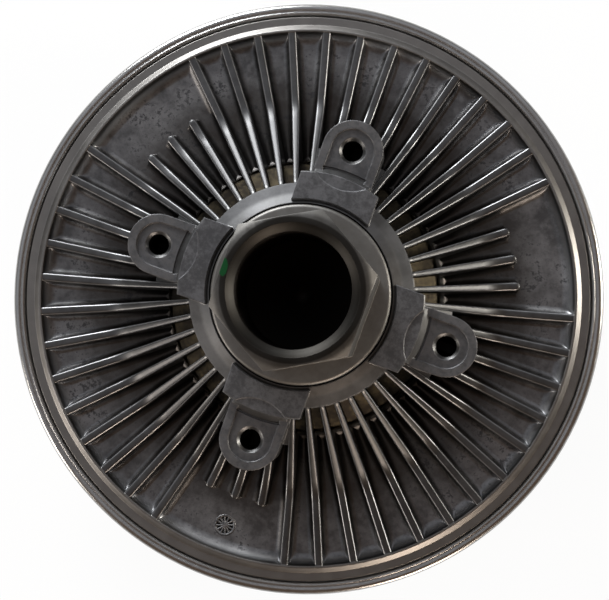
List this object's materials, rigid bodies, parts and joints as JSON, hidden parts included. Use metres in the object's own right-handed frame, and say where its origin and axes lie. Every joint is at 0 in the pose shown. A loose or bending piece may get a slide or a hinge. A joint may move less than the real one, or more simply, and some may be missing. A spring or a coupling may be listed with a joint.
{
  "type": "viscous fan clutch",
  "caption": "Viscous fan clutch with radial cooling ribs, four fan lugs, pilot pads, a threaded hexagon drive nut and a rolled rim, with a bimetal coil on the front.",
  "frame": {"origin": "on the axis of rotation, in the plane of the front fins' tips, on which the clutch lies", "axes": "+Z along the axis of rotation from the front fins to the drive nut; +X towards the picture's right"},
  "size_m": [0.204, 0.204, 0.111],
  "materials": {
    "cast_body": "dark as-cast satin with turned faces",
    "cast_cover": "as-cast satin",
    "forged_steel": "turned and lightly oxidised",
    "bearing_steel": "ground",
    "spring_steel": "phosphated",
    "pressed_steel": "rolled sheet",
    "bimetal": "rolled strip with heat tint",
    "rubber": "moulded",
    "polyamide": "moulded"
  },
  "bodies": {
    "housing": {"rear_body": "cast_body", "front_cover": "cast_cover", "cover_seal": "rubber", "bearing_outer_ring": "bearing_steel", "bearing_rear_seal": "rubber", "bearing_front_seal": "rubber", "bearing_retaining_ring": "spring_steel", "wiper": "spring_steel", "passage_plug": "bearing_steel", "valve_plate": "pressed_steel", "valve_plate_screws": "spring_steel", "bimetal_coil": "bimetal", "coil_bracket": "pressed_steel", "bracket_rivet": "bearing_steel"},
    "shaft": {"drive_shaft": "forged_steel", "bearing_inner_ring": "bearing_steel", "rotor": "cast_cover"},
    "cages": {"bearing_balls": "bearing_steel", "bearing_cages": "polyamide"},
    "valve": {"valve_shaft": "pressed_steel", "valve_shaft_seal": "rubber", "valve_arm": "pressed_steel"}
  },
  "joints": [
    {"name": "shaft_spin", "type": "hinge", "parent": "housing", "child": "shaft", "pos_m": [0, 0, 0.05], "axis": [0, 0, 1], "continuous": true},
    {"name": "cage_spin", "type": "hinge", "parent": "housing", "child": "cages", "pos_m": [0, 0, 0.05], "axis": [0, 0, 1], "continuous": true},
    {"name": "valve_turn", "type": "hinge", "parent": "housing", "child": "valve", "pos_m": [0, 0, 0.015], "axis": [0, 0, 1], "range_deg": [0, 30], "stiffness_Nm_per_rad": 0.02, "deforming": ["bimetal_coil"]}
  ],
  "couplings": [
    {"joint": "cage_spin", "follows": "shaft_spin", "ratio": 0.411}
  ]
}
